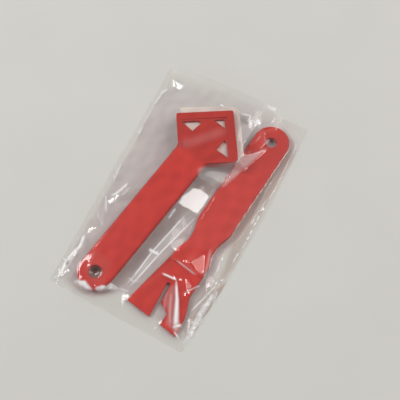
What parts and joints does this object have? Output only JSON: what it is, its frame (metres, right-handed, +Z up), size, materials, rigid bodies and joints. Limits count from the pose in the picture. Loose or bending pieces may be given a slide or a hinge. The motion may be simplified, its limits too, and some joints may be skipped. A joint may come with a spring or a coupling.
{
  "type": "sealant smoothing tool",
  "caption": "Sealant finishing set: smoother with a square pocket head and slide-in pad, and a flat scraper with a forked end, lying in a clear film bag with an open mouth.",
  "frame": {"origin": "underside of the bag's back film, under the middle of the bag", "axes": "+Y along the bag to its open mouth, +Z up through the tools, +X to the remover's side"},
  "size_m": [0.1, 0.163, 0.0147],
  "materials": {
    "red_plastic": "moulded, semi-gloss with a fine grain",
    "cream_pad": "soft, matt",
    "clear_film": "clear, glossy, crinkled"
  },
  "bodies": {
    "bag": {"bag_back_film": "clear_film", "bag_front_film": "clear_film"},
    "smoother": {"smoother_body": "red_plastic"},
    "pad": {"smoothing_pad": "cream_pad"},
    "remover": {"sealant_remover": "red_plastic"}
  },
  "joints": [
    {"name": "smoother_slide", "type": "slide", "parent": "bag", "child": "smoother", "axis": [0, 1, 0], "range_m": [0, 0.16], "deforming": ["bag_front_film"]},
    {"name": "remover_slide", "type": "slide", "parent": "bag", "child": "remover", "axis": [0, 1, 0], "range_m": [0, 0.16], "deforming": ["bag_front_film"]},
    {"name": "pad_slide", "type": "slide", "parent": "smoother", "child": "pad", "axis": [0.2042, 0.9775, -0.0523], "range_m": [0, 0.046], "deforming": ["bag_front_film"]}
  ]
}
